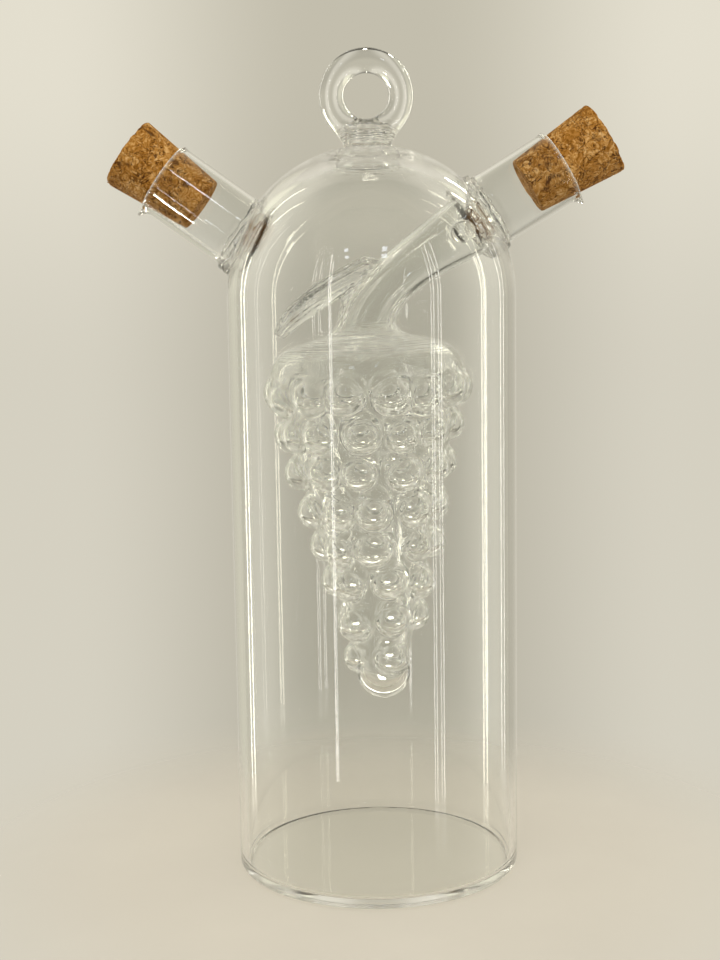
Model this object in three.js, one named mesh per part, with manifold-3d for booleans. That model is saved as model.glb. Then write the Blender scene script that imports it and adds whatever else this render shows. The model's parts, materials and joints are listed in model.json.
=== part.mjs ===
// Two-in-one oil and vinegar cruet of lampworked clear glass, closed by two tapered corks.
// Millimetres, +Z up. The origin is the centre of the flat base that the cruet stands on.
// Both spouts and the ring handle lie in the XZ plane, with the vinegar spout towards +X.

import * as THREE from 'three';
import { mergeVertices } from 'three/addons/utils/BufferGeometryUtils.js';
import { ParametricGeometry } from 'three/addons/geometries/ParametricGeometry.js';
import Module from 'manifold-3d';

const wasm = await Module();
wasm.setup();

// Driving dimensions

const seam = 0.3; // clearance left where two pieces of glass are fused on the real cruet

const body = { radius: 35, wall: 2, baseThickness: 1.8, heelRadius: 1.5, sides: 36 };
const dome = { start: 140.8, rise: 36.5, apexWall: 3.5, arcSteps: 7 };
const roundSteps = 4; // steps in a quarter turn of a rounded edge

// Each spout leaves the dome at a height, climbs at an angle and is as long as its tube is from the dome.
// side is -1 to the left and +1 to the right.
const tube = { radius: 8.9, bore: 8, sides: 24, weldLength: 3.2 };
const oil = { side: -1, height: 156.9, climb: degrees(36), length: 22.8 };
const vinegar = { side: 1, height: 161.4, climb: degrees(31.2), length: 20.2 };

const lip = { bead: 0.7, steps: 6 };
// The beak is pulled over the last stretch of the tube, which gets two more rings of points for it.
const beak = { reach: 1.2, length: 4, halfAngle: degrees(18), rings: [0.9, 0.5] };
const weld = { radius: 10, depth: 8, ripple: 0.28, ripples: 2, rippleSteps: 4 };

const cork = { length: 21.8, edge: 0.7, sides: 24 };
const oilCork = { outerRadius: 8.85, innerRadius: 6.7, showing: 10.3 };
const vinegarCork = { outerRadius: 9, innerRadius: 6.95, showing: 12.1 };

const neck = { wall: 1.2, top: 9.2, waist: 6.1, bottom: 7.7, sides: 20, steps: 10 };
const neckPull = { top: 20, bottom: 12 }; // how far the neck runs straight before it bends

// The bunch hangs from its mouth, a little out of plumb. Its radius over the berries shrinks row by row.
// Depths are measured down from the mouth. The berries of the first row are the largest.
const bunch = {
  mouthX: -1.6,
  mouthHeight: 130.8,
  lean: degrees(2.4),
  wall: 1.2,
  rows: 8,
  firstRowDepth: 12.4,
  rowPitch: 9.36,
  firstRowRadius: 26,
  rowShrink: 2.257,
  topDepth: 2.6,
  cornerRadius: 6,
  crownSteps: 3,
  tipRadius: 6.6,
  tipDepth: 89.3,
  sides: 20,
  hollowSides: 10,
};
const berry = { radius: 4.3, firstRadius: 4.95, standsOut: 3.6, glass: 0.9, spacing: 9.3 };
const berryFacets = { sides: 7, rings: 6 };

// The stub swells from its root to its belly and tapers to a tip that is nipped off flat.
const stub = { rootRadius: 2.7, bellyRadius: 2.9, tipRadius: 1.4, belly: 0.35, sides: 12, steps: 10 };
const stubRoot = new THREE.Vector3(-1, 0, 148.2);
const stubBend = new THREE.Vector3(-19.5, 0, 138.6);
const stubTip = new THREE.Vector3(-22.6, 0, 131.8);

const ring = { x: -0.6, height: 188.8, radius: 8.35, rod: 3, sides: 12, steps: 28 };
const foot = { radius: 5.5, spread: 1.9, top: 180.2 };

function degrees(angle) {
  return (angle * Math.PI) / 180;
}

// Finishes

function clearGlass() {
  return new THREE.MeshStandardMaterial({
    color: 0xf3f6f2,
    roughness: 0.03,
    metalness: 0,
    transparent: true,
    opacity: 0.35,
  });
}

function pressedCork() {
  return new THREE.MeshStandardMaterial({ color: 0xb17d45, roughness: 0.9, metalness: 0 });
}

// Solids

const weldTolerance = 1e-4;

// Welds a geometry's seams and poles, drops the triangles that collapse there and faces the rest outwards.
function closed(geometry) {
  geometry.deleteAttribute('normal');
  geometry.deleteAttribute('uv');
  const welded = mergeVertices(geometry, weldTolerance);
  const position = welded.getAttribute('position');
  const corner = (i) => new THREE.Vector3().fromBufferAttribute(position, i);
  const triangles = welded.getIndex().array;
  const kept = [];
  let volume = 0;
  for (let i = 0; i < triangles.length; i += 3) {
    const [p, q, r] = triangles.subarray(i, i + 3);
    if (p === q || q === r || r === p) continue;
    kept.push(p, q, r);
    volume += corner(p).dot(corner(q).cross(corner(r)));
  }
  if (volume < 0) kept.reverse();
  welded.setIndex(kept);
  return welded;
}

function solid(geometry) {
  const shape = closed(geometry);
  const vertProperties = new Float32Array(shape.getAttribute('position').array);
  const triVerts = new Uint32Array(shape.getIndex().array);
  return new wasm.Manifold(new wasm.Mesh({ numProp: 3, vertProperties, triVerts }));
}

function geometryOf(manifold) {
  const { vertProperties, triVerts } = manifold.getMesh();
  const geometry = new THREE.BufferGeometry();
  geometry.setAttribute('position', new THREE.BufferAttribute(vertProperties, 3));
  geometry.setIndex(new THREE.BufferAttribute(triVerts, 1));
  return geometry;
}

function piece(name, geometry, material) {
  const mesh = new THREE.Mesh(geometry, material);
  mesh.name = name;
  return mesh;
}

// Turns a profile of radius and height round the Z axis.
function revolve(profile, sides) {
  return new THREE.LatheGeometry(profile, sides).rotateX(Math.PI / 2);
}

function at(radius, height) {
  return new THREE.Vector2(radius, height);
}

function arc(radius, height, across, up, from, to, steps) {
  return new THREE.EllipseCurve(radius, height, across, up, from, to, to < from).getPoints(steps);
}

// Outer bottle

const quarter = Math.PI / 2;
const innerRadius = body.radius - body.wall;
const domeFoot = dome.start + seam;

function bottleBase() {
  const heel = body.heelRadius;
  const profile = [
    at(0, 0),
    ...arc(body.radius - heel, heel, heel, heel, -quarter, 0, roundSteps),
    at(body.radius, body.baseThickness),
    at(0, body.baseThickness),
  ];
  return closed(revolve(profile, body.sides));
}

function bottleWall() {
  const bottom = body.baseThickness + seam;
  const profile = [
    at(innerRadius, bottom),
    at(body.radius, bottom),
    at(body.radius, dome.start),
    at(innerRadius, dome.start),
    at(innerRadius, bottom),
  ];
  return closed(revolve(profile, body.sides));
}

// A filled dome over the shoulder line, from below it up to an elliptic cap.
function domeFilling(radius, rise, bottom) {
  const cap = arc(0, dome.start, radius, rise, 0, quarter, dome.arcSteps);
  const profile = [at(0, bottom), at(radius, bottom), ...cap];
  return solid(revolve(profile, body.sides));
}

function domeRadiusAt(height) {
  const climbed = (height - dome.start) / dome.rise;
  return body.radius * Math.sqrt(1 - climbed * climbed);
}

const innerRise = dome.rise - dome.apexWall;
const domeOuter = domeFilling(body.radius, dome.rise, domeFoot);
const domeInner = domeFilling(innerRadius, innerRise, domeFoot - seam);
const domeOutside = domeFilling(body.radius + seam, dome.rise + seam, domeFoot - seam);
const domeInside = domeFilling(innerRadius - seam, innerRise - seam, 0);

// A spout's own frame has its origin where its axis leaves the dome and +Z along the axis to the mouth.
function spoutFrame(spout) {
  const frame = new THREE.Group();
  frame.position.set(spout.side * domeRadiusAt(spout.height), 0, spout.height);
  frame.rotation.y = spout.side * (quarter - spout.climb);
  frame.updateMatrix();
  return frame;
}

function moved(manifold, matrix) {
  return manifold.transform(matrix.elements);
}

const boreReach = 30;

function boreThrough(spout) {
  const bore = new THREE.CylinderGeometry(tube.bore, tube.bore, boreReach, tube.sides);
  return moved(solid(bore.rotateX(quarter)), spoutFrame(spout).matrix);
}

function bottleShoulder() {
  const shell = domeOuter.subtract(domeInner);
  return geometryOf(shell.subtract(boreThrough(oil)).subtract(boreThrough(vinegar)));
}

// Spouts

// Pulls the lower side of a spout's mouth out into a short beak.
function pullBeak(geometry, spout) {
  const position = geometry.getAttribute('position');
  for (let i = 0; i < position.count; i += 1) {
    const x = position.getX(i);
    const y = position.getY(i);
    const along = Math.max(0, (position.getZ(i) - spout.length + beak.length) / beak.length);
    const turn = Math.atan2(y, x * spout.side) / beak.halfAngle;
    const pull = beak.reach * along * along * Math.exp(-turn * turn);
    const radius = Math.hypot(x, y);
    position.setX(i, x + (pull * x) / radius);
    position.setY(i, y + (pull * y) / radius);
  }
  return geometry;
}

function spoutTube(spout) {
  const root = tube.weldLength + seam;
  const beadRadius = tube.bore + lip.bead;
  const beadHeight = spout.length - lip.bead;
  const beadStart = -Math.acos((tube.radius - beadRadius) / lip.bead);
  const beakRings = beak.rings.map((part) => spout.length - 2 * lip.bead - part * beak.length);
  const profile = [
    at(tube.bore, root),
    at(tube.radius, root),
    ...beakRings.map((height) => at(tube.radius, height)),
    ...arc(beadRadius, beadHeight, lip.bead, lip.bead, beadStart, Math.PI, lip.steps),
    ...beakRings.map((height) => at(tube.bore, height)).reverse(),
    at(tube.bore, root),
  ];
  return closed(pullBeak(revolve(profile, tube.sides), spout));
}

// The collar starts inside the dome and is trimmed to sit on it. Ripples left by the flame run round it.
function spoutWeld(spout) {
  const ripples = [];
  const steps = weld.ripples * weld.rippleSteps;
  for (let i = 0; i <= steps; i += 1) {
    const part = i / steps;
    const swell = weld.ripple * Math.sin(part * weld.ripples * 2 * Math.PI);
    const taper = THREE.MathUtils.lerp(weld.radius, tube.radius, part * part);
    ripples.push(at(taper + swell, THREE.MathUtils.lerp(-weld.depth / 2, tube.weldLength, part)));
  }
  const profile = [
    at(tube.bore, -weld.depth),
    at(weld.radius, -weld.depth),
    ...ripples,
    at(tube.bore, tube.weldLength),
    at(tube.bore, -weld.depth),
  ];
  const toSpout = spoutFrame(spout).matrix.invert();
  return geometryOf(solid(revolve(profile, tube.sides)).subtract(moved(domeOutside, toSpout)));
}

function spoutCork(spout, stopper) {
  const outerEnd = spout.length + stopper.showing;
  const innerEnd = outerEnd - cork.length;
  const { outerRadius, innerRadius: smallRadius } = stopper;
  const profile = [
    at(0, innerEnd),
    at(smallRadius - cork.edge, innerEnd),
    at(smallRadius, innerEnd + cork.edge),
    at(outerRadius, outerEnd - cork.edge),
    at(outerRadius - cork.edge, outerEnd),
    at(0, outerEnd),
  ];
  return closed(revolve(profile, cork.sides));
}

function spoutAssembly(spout, stopper, name) {
  const frame = spoutFrame(spout);
  frame.add(piece(`${name}_spout`, spoutTube(spout), clearGlass()));
  frame.add(piece(`${name}_spout_weld`, spoutWeld(spout), clearGlass()));
  frame.add(piece(`${name}_cork`, spoutCork(spout, stopper), pressedCork()));
  return frame;
}

// Inner vessel

// Lofts round sections along a curve in the XZ plane. Each station has a place on the curve and a radius.
// The stations close on themselves for a tube wall, or start and end with no radius for a filled rod.
function loft(curve, stations, sides) {
  const last = stations.length - 1;
  const across = new THREE.Vector3(0, 1, 0);
  const surface = (u, v, target) => {
    const { place, radius } = stations[Math.round(u * last)];
    const turn = Math.round(v * sides) * ((2 * Math.PI) / sides);
    const outward = new THREE.Vector3().crossVectors(across, curve.getTangent(place));
    target.copy(curve.getPoint(place));
    target.addScaledVector(outward, radius * Math.cos(turn));
    target.addScaledVector(across, radius * Math.sin(turn % (2 * Math.PI)));
  };
  return new ParametricGeometry(surface, last, sides);
}

const bunchAxis = new THREE.Vector3(Math.sin(bunch.lean), 0, -Math.cos(bunch.lean));
const bunchMouth = new THREE.Vector3(bunch.mouthX, 0, bunch.mouthHeight);

function neckCurve() {
  const start = spoutFrame(vinegar).position;
  const inwards = new THREE.Vector3(-Math.cos(vinegar.climb), 0, -Math.sin(vinegar.climb));
  const end = bunchMouth.clone().addScaledVector(bunchAxis, -seam);
  return new THREE.CubicBezierCurve3(
    start,
    start.clone().addScaledVector(inwards, neckPull.top),
    end.clone().addScaledVector(bunchAxis, -neckPull.bottom),
    end,
  );
}

function neckStations(thinner) {
  const stations = [];
  for (let i = 0; i <= neck.steps; i += 1) {
    const place = i / neck.steps;
    const end = place < 0.5 ? neck.top : neck.bottom;
    const flare = (2 * place - 1) ** 2;
    stations.push({ place, radius: THREE.MathUtils.lerp(neck.waist, end, flare) - thinner });
  }
  return stations;
}

function vinegarNeck() {
  const outer = neckStations(0);
  const bore = neckStations(neck.wall).reverse();
  const wall = loft(neckCurve(), [...outer, ...bore, outer[0]], neck.sides);
  return geometryOf(solid(wall).intersect(domeInside));
}

// The bunch's own frame has its origin at the mouth and -Z down the bunch.
function coreRadiusAt(depth) {
  const rows = (depth - bunch.firstRowDepth) / bunch.rowPitch;
  return bunch.firstRowRadius - berry.standsOut - rows * bunch.rowShrink;
}

// The filled cone under the berries, made thinner all over for its hollow. A low crown joins its mouth to
// the rounded corner.
function bunchCore(thinner, sides) {
  const corner = bunch.cornerRadius - thinner;
  const cornerDepth = bunch.topDepth + bunch.cornerRadius;
  const shoulder = coreRadiusAt(cornerDepth) - bunch.cornerRadius;
  const tip = bunch.tipRadius - thinner;
  const tipDepth = bunch.tipDepth - bunch.tipRadius;
  const mouth = neck.bottom - thinner;
  const mouthTop = thinner > 0 ? seam : 0;
  const crownTop = at(mouth, -thinner);
  const crownEdge = at(shoulder, -bunch.topDepth - thinner);
  const crownBend = at((mouth + shoulder) / 2, -thinner);
  const crown = new THREE.QuadraticBezierCurve(crownTop, crownBend, crownEdge).getPoints(bunch.crownSteps);
  const profile = [
    at(0, mouthTop),
    at(mouth, mouthTop),
    ...crown,
    ...arc(shoulder, -cornerDepth, corner, corner, quarter, 0, roundSteps),
    ...arc(0, -tipDepth, tip, tip, 0, -quarter, roundSteps),
  ];
  return solid(revolve(profile, sides));
}

// Rows of berries, each made by a function of its radius. Every other row is turned by half a berry.
function bunchBerries(shapeOf) {
  const berries = [];
  for (let row = 0; row < bunch.rows; row += 1) {
    const radius = row === 0 ? berry.firstRadius : berry.radius;
    const depth = bunch.firstRowDepth + row * bunch.rowPitch;
    const distance = bunch.firstRowRadius - row * bunch.rowShrink - radius;
    const count = Math.floor((2 * Math.PI * distance) / berry.spacing);
    for (let i = 0; i < count; i += 1) {
      const turn = ((i + (row % 2) / 2) / count) * 2 * Math.PI;
      berries.push(solid(shapeOf(radius).translate(distance, 0, -depth).rotateZ(turn)));
    }
  }
  return wasm.Manifold.union(berries);
}

function bubble(radius) {
  const { sides, rings } = berryFacets;
  return new THREE.SphereGeometry(radius, sides, rings).rotateZ(-quarter);
}

function grapeVessel() {
  const hollow = (radius) => new THREE.OctahedronGeometry(radius - berry.glass);
  const outside = bunchCore(0, bunch.sides).add(bunchBerries(bubble));
  const inside = bunchCore(bunch.wall, bunch.hollowSides).add(bunchBerries(hollow));
  return geometryOf(outside.subtract(inside));
}

function stubRadiusAt(place) {
  if (place < stub.belly) {
    return THREE.MathUtils.lerp(stub.rootRadius, stub.bellyRadius, place / stub.belly);
  }
  return THREE.MathUtils.lerp(stub.bellyRadius, stub.tipRadius, (place - stub.belly) / (1 - stub.belly));
}

// Closes the ends of a row of stations flat, which makes a filled rod of it.
function capped(stations) {
  return [{ place: 0, radius: 0 }, ...stations, { place: 1, radius: 0 }];
}

function vineStub() {
  const curve = new THREE.QuadraticBezierCurve3(stubRoot, stubBend, stubTip);
  const stations = [];
  for (let i = 0; i <= stub.steps; i += 1) {
    const place = i / stub.steps;
    stations.push({ place, radius: stubRadiusAt(place) });
  }
  const rod = solid(loft(curve, capped(stations), stub.sides));
  const filledNeck = solid(loft(neckCurve(), capped(neckStations(-seam)), neck.sides));
  return geometryOf(rod.subtract(filledNeck));
}

// Ring handle

function ringRod(thicker) {
  const rod = new THREE.TorusGeometry(ring.radius, ring.rod + thicker, ring.sides, ring.steps);
  return rod.rotateX(quarter).translate(ring.x, 0, ring.height);
}

function handleFoot() {
  const apex = dome.start + dome.rise;
  const spread = foot.radius + foot.spread;
  const profile = [
    at(0, apex - 2 * foot.spread),
    at(spread, apex - 2 * foot.spread),
    ...arc(spread, apex + foot.spread / 2, foot.spread, foot.spread, -quarter, -Math.PI, roundSteps),
    at(foot.radius, foot.top),
    at(0, foot.top),
  ];
  const stump = solid(revolve(profile, tube.sides).translate(ring.x, 0, 0));
  return geometryOf(stump.subtract(domeOutside).subtract(solid(ringRod(seam))));
}

// The cruet

const cruet = new THREE.Group();
cruet.name = 'cruet';
cruet.add(piece('bottle_base', bottleBase(), clearGlass()));
cruet.add(piece('bottle_wall', bottleWall(), clearGlass()));
cruet.add(piece('bottle_shoulder', bottleShoulder(), clearGlass()));
cruet.add(spoutAssembly(oil, oilCork, 'oil'));
cruet.add(spoutAssembly(vinegar, vinegarCork, 'vinegar'));
cruet.add(piece('vinegar_neck', vinegarNeck(), clearGlass()));

const grapes = piece('grape_vessel', grapeVessel(), clearGlass());
grapes.position.copy(bunchMouth);
grapes.rotation.y = -bunch.lean;
cruet.add(grapes);

cruet.add(piece('vine_stub', vineStub(), clearGlass()));
cruet.add(piece('ring_handle', closed(ringRod(0)), clearGlass()));
cruet.add(piece('handle_foot', handleFoot(), clearGlass()));

export default cruet;
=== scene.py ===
# %% [markdown]
# # An oil and vinegar cruet of lampworked glass
#
# One bottle holds the oil, and a bunch of hollow glass grapes inside it holds the vinegar. Each has a
# slanting spout with a pressed cork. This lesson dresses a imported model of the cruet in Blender: the
# model gives the sizes and what moves, and the cells below make the surfaces that are seen.
#
# The first cell loads the model. Everything after it is in metres, in the model's own frame.

import json
import math

import bpy
import numpy as np
import openvdb
from mathutils import Matrix, Vector


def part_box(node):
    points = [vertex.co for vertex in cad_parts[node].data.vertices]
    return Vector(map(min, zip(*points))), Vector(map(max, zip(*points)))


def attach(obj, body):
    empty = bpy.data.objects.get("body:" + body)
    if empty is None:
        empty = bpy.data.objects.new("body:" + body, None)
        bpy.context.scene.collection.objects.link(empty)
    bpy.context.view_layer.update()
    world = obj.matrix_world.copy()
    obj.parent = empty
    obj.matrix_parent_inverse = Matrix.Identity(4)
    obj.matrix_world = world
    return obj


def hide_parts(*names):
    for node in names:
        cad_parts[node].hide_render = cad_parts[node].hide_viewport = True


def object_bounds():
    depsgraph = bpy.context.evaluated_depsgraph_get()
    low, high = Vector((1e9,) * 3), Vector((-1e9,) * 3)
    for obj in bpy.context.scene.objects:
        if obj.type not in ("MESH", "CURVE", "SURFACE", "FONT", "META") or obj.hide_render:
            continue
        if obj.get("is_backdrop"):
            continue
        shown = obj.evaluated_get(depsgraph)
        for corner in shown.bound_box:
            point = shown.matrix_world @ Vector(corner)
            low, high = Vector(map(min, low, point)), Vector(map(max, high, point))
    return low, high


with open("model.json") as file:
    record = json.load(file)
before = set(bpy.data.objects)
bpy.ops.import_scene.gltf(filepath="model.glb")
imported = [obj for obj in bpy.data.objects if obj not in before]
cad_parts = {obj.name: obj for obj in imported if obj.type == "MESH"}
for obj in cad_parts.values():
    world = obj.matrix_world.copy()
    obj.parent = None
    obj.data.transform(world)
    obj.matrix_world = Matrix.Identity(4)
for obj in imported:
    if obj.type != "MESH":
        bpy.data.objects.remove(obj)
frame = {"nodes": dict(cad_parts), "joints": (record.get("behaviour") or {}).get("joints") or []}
cad_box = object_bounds()
mm = 0.001

# %% [markdown]
# ## Measuring the model
#
# A piece that is made in Blender has to sit where the model says, so its main sizes are read from the
# model and not typed again. A node's box gives the bottle's radius and heights. A spout's axis is the
# direction in which its cork pulls out, and it runs through the middle of the cork's own vertices.

# %% Sizes read from the model
wall_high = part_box("bottle_wall")[1]
body_radius = wall_high.x
dome_start = wall_high.z
dome_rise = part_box("bottle_shoulder")[1].z - dome_start
base_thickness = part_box("bottle_base")[1].z
pull_axes = {joint["child"]: np.array(joint["axis"]) for joint in frame["joints"]}


def vertices_of(node):
    mesh = frame["nodes"][node].data
    flat = np.empty(len(mesh.vertices) * 3)
    mesh.vertices.foreach_get("co", flat)
    return flat.reshape(-1, 3)


class Spout:
    """A spout's axis, with s measured along it from where the axis leaves the dome."""

    def __init__(self, name):
        cork = vertices_of(f"{name}_cork")
        self.axis = pull_axes[f"{name}_cork"] / np.linalg.norm(pull_axes[f"{name}_cork"])
        down = np.array([self.axis[2], 0.0, -self.axis[0]])
        self.down = down if down[2] < 0 else -down
        self.root = self.where_it_leaves_the_dome(cork.mean(axis=0))
        self.length = ((vertices_of(f"{name}_spout") - self.root) @ self.axis).max()
        along = (cork - self.root) @ self.axis
        self.cork_from, self.cork_to = along.min(), along.max()
        self.cork_radius = np.linalg.norm(cork - self.root - np.outer(along, self.axis), axis=1).max()

    def where_it_leaves_the_dome(self, point):
        start = np.array([point[0] / body_radius, (point[2] - dome_start) / dome_rise])
        step = np.array([self.axis[0] / body_radius, self.axis[2] / dome_rise])
        half, square = start @ step, step @ step
        root = math.sqrt(half**2 - square * (start @ start - 1))
        crossings = (-half - root) / square, (-half + root) / square
        return point + self.axis * min(crossings, key=abs)

    def coordinates(self, x, y, z):
        """Distance along the axis, distance from it, and the turn round it from its lower side."""
        x, z = x - self.root[0], z - self.root[2]
        along = x * self.axis[0] + z * self.axis[2]
        below = x * self.down[0] + z * self.down[2]
        return along, np.hypot(below, y), np.arctan2(y, below)


oil = Spout("oil")
vinegar = Spout("vinegar")
print("bottle radius %.1f mm, dome from %.1f mm" % (body_radius / mm, dome_start / mm))
print("spouts %.1f and %.1f mm long" % (oil.length / mm, vinegar.length / mm))

# %% [markdown]
# ## The camera
#
# The view is from a little above the middle of the bottle, looking slightly down, with a long lens and
# a small roll. A camera looks along its own -Z, so its matrix has the right, up and backward
# directions as columns.

# %% Camera
camera_place = Vector((0.0, -0.3674, 0.1415))
camera_yaw = math.radians(-0.53)
camera_pitch = math.radians(7.02)
camera_roll = math.radians(-0.86)
lens_mm = 56.25
sensor_mm = 36.0
nearest_shown = 0.01

forward = Vector((
    math.sin(camera_yaw) * math.cos(camera_pitch),
    math.cos(camera_yaw) * math.cos(camera_pitch),
    -math.sin(camera_pitch),
))
level = Vector((math.cos(camera_yaw), -math.sin(camera_yaw), 0.0))
upward = level.cross(forward)
right = math.cos(camera_roll) * level + math.sin(camera_roll) * upward
up = math.cos(camera_roll) * upward - math.sin(camera_roll) * level

camera_data = bpy.data.cameras.new("camera")
camera_data.lens = lens_mm
camera_data.sensor_width = sensor_mm
camera_data.clip_start = nearest_shown
camera = bpy.data.objects.new("camera", camera_data)
camera.matrix_world = Matrix((
    (right.x, up.x, -forward.x, camera_place.x),
    (right.y, up.y, -forward.y, camera_place.y),
    (right.z, up.z, -forward.z, camera_place.z),
    (0.0, 0.0, 0.0, 1.0),
))
bpy.context.scene.collection.objects.link(camera)
bpy.context.scene.camera = camera
print("camera at", tuple(round(c, 3) for c in camera_place))

# %% [markdown]
# ## Writing shader maths as Python
#
# A node tree is easier to read as a sum than as a picture of wires. This class wraps the output of a
# node. Adding or multiplying two of them adds a Math node, and every other node comes from one method.
# The same class serves the material trees and the Geometry Nodes trees.

# %% Node outputs with operators
class Wire:
    def __init__(self, tree, socket=None):
        self.tree = tree
        self.socket = socket

    def node(self, kind, inputs=None, settings=None, output=0):
        made = self.tree.nodes.new(kind)
        for name, value in (settings or {}).items():
            if name == "stops":
                ramp = made.color_ramp
                while len(ramp.elements) < len(value):
                    ramp.elements.new(1.0)
                for element, (place, colour) in zip(ramp.elements, value):
                    element.position = place
                    element.color = colour
            else:
                setattr(made, name, value)
        for name, value in (inputs or {}).items():
            if isinstance(value, Wire):
                self.tree.links.new(value.socket, made.inputs[name])
            else:
                made.inputs[name].default_value = value
        return Wire(self.tree, made.outputs[output] if made.outputs else None)

    def beside(self, output):
        """Another output of the same node."""
        return Wire(self.tree, self.socket.node.outputs[output])

    def math(self, operation, *values):
        return self.node("ShaderNodeMath", dict(enumerate(values)), {"operation": operation})

    def vector(self, operation, *values):
        return self.node("ShaderNodeVectorMath", dict(enumerate(values)), {"operation": operation})

    def scaled(self, vector, factor):
        inputs = {"Vector": vector, "Scale": factor}
        return self.node("ShaderNodeVectorMath", inputs, {"operation": "SCALE"})

    def noise(self, place, scale, detail, output=0):
        inputs = {"Vector": place, "Scale": scale, "Detail": detail}
        return self.node("ShaderNodeTexNoise", inputs, output=output)

    def mix(self, factor, first, second):
        """A blend of two colours. A Mix node keeps its colours on inputs 6 and 7 and on output 2."""
        return self.node("ShaderNodeMix", {0: factor, 6: first, 7: second}, {"data_type": "RGBA"}, 2)

    def ease(self, low, high):
        """0 below low, 1 above high and a smooth step between them."""
        inputs = {"Value": self, "From Min": low, "From Max": high}
        return self.node("ShaderNodeMapRange", inputs, {"interpolation_type": "SMOOTHSTEP"})

    def within(self, rise, fall):
        """1 between a smooth rise and a smooth fall, and 0 outside them."""
        return self.ease(*rise) * (1 - self.ease(*fall))

    def __add__(self, other):
        return self.math("ADD", self, other)

    def __sub__(self, other):
        return self.math("SUBTRACT", self, other)

    def __rsub__(self, other):
        return self.math("SUBTRACT", other, self)

    def __mul__(self, other):
        return self.math("MULTIPLY", self, other)

    __radd__ = __add__


def new_material(name):
    material = bpy.data.materials.new(name)
    material.use_nodes = True
    material.node_tree.nodes.clear()
    return material, Wire(material.node_tree)


def show(start, shader):
    start.node("ShaderNodeOutputMaterial", {"Surface": shader})


# %% [markdown]
# ## The studio
#
# Clear glass has almost no look of its own. It shows the room, bent. So the room comes first: a pale
# warm background, a little darker behind the bottle than at the sides, and tall narrow lamps round it.
# Each lamp draws a thin bright line down the glass where the wall turns towards it.
#
# The world gives that background to camera, mirrored and refracted rays alike, so that the glass shows
# what is behind it. The room is dimmer in front of the cruet and has a warm window high up at each
# side. For rays that met glass it is also dim straight above and far below the cruet. None of that
# shows behind the bottle, but welds and bubbles bend light so far that they find it. All other rays get
# an even, plain light.
#
# A zone of the room is a rise and a fall along one component of a direction, which is the sine of an
# angle: 0.5 upwards is 30 degrees above the horizon.

# %% Background
middle_colour = (0.47, 0.443, 0.36, 1.0)
side_colour = (0.665, 0.632, 0.535, 1.0)
left_colour = (0.61, 0.585, 0.47, 1.0)
window_colour = (0.82, 0.795, 0.63, 1.0)
zenith_colour = (0.22, 0.21, 0.18, 1.0)
depths_colour = (0.08, 0.076, 0.06, 1.0)
even_light = (0.62, 0.60, 0.56, 1.0)
side_zone = (0.03, 0.20), (0.25, 0.36)
left_zone = (0.36, 0.44), (0.66, 0.76)
window_zone = (0.28, 0.34), (0.62, 0.70)
window_heights = (0.34, 0.40), (0.58, 0.64)
zenith_rise = (0.78, 0.95)
depths_rise = (0.50, 0.62)
horizon_rise = (-0.06, 0.16)
above_horizon = 0.16
front_fade = (-0.35, 0.2)
front_share = 0.20

world = bpy.data.worlds.new("studio")
bpy.context.scene.world = world
world.use_nodes = True
world.node_tree.nodes.clear()
sky = Wire(world.node_tree)
direction = sky.node("ShaderNodeTexCoord", output="Generated")
rightwards = sky.node("ShaderNodeSeparateXYZ", {"Vector": direction})
depth = rightwards.beside("Y")
height = rightwards.beside("Z")
sideways = sky.math("ABSOLUTE", rightwards)
background = sky.mix(sideways.within(*side_zone), middle_colour, side_colour)
background = sky.mix((0 - rightwards).within(*left_zone), background, left_colour)
windows = sideways.within(*window_zone) * height.within(*window_heights)
background = sky.mix(windows, background, window_colour)
from_camera = sky.node("ShaderNodeLightPath", output="Is Camera Ray")
from_glass = 1 - from_camera
background = sky.mix(from_glass * height.ease(*zenith_rise), background, zenith_colour)
background = sky.mix(from_glass * (0 - height).ease(*depths_rise), background, depths_colour)
brightness = 1 + height.ease(*horizon_rise) * above_horizon
brightness = brightness * (depth.ease(*front_fade) * (1 - front_share) + front_share)
seen = sky.math("MAXIMUM", from_camera, from_camera.beside("Is Glossy Ray"))
seen = sky.math("MAXIMUM", seen, from_camera.beside("Is Transmission Ray"))
shown_light = sky.node("ShaderNodeBackground", {"Color": background, "Strength": brightness})
plain_light = sky.node("ShaderNodeBackground", {"Color": even_light, "Strength": 1.0})
both = sky.node("ShaderNodeMixShader", {0: seen, 1: plain_light, 2: shown_light})
sky.node("ShaderNodeOutputWorld", {"Surface": both})
bpy.context.scene.view_settings.view_transform = "Standard"
print("world nodes:", len(world.node_tree.nodes))

# %% [markdown]
# The floor is a small disc that fades into the background towards its rim, so it keeps the cruet's
# shadow without drawing a horizon behind it. It lies a hair below the glass, because two faces in the
# same plane would flicker.

# %% Floor
floor_radius = 0.30
floor_fade = (0.05, 0.14)
floor_drop = 0.3 * mm
floor_colour = (0.70, 0.655, 0.56, 1.0)
floor_shade = (0.68, 0.635, 0.543, 1.0)
floor_sides = 96
floor_roughness = 0.85
mottle_scale = 18.0
mottle_range = (0.35, 0.65)

turns = np.linspace(0, 2 * math.pi, floor_sides, endpoint=False)
rim = [(floor_radius * math.cos(t), floor_radius * math.sin(t), -floor_drop) for t in turns]
floor_mesh = bpy.data.meshes.new("floor")
floor_mesh.from_pydata(rim, [], [list(range(floor_sides))])
floor = bpy.data.objects.new("floor", floor_mesh)
bpy.context.scene.collection.objects.link(floor)

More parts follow.
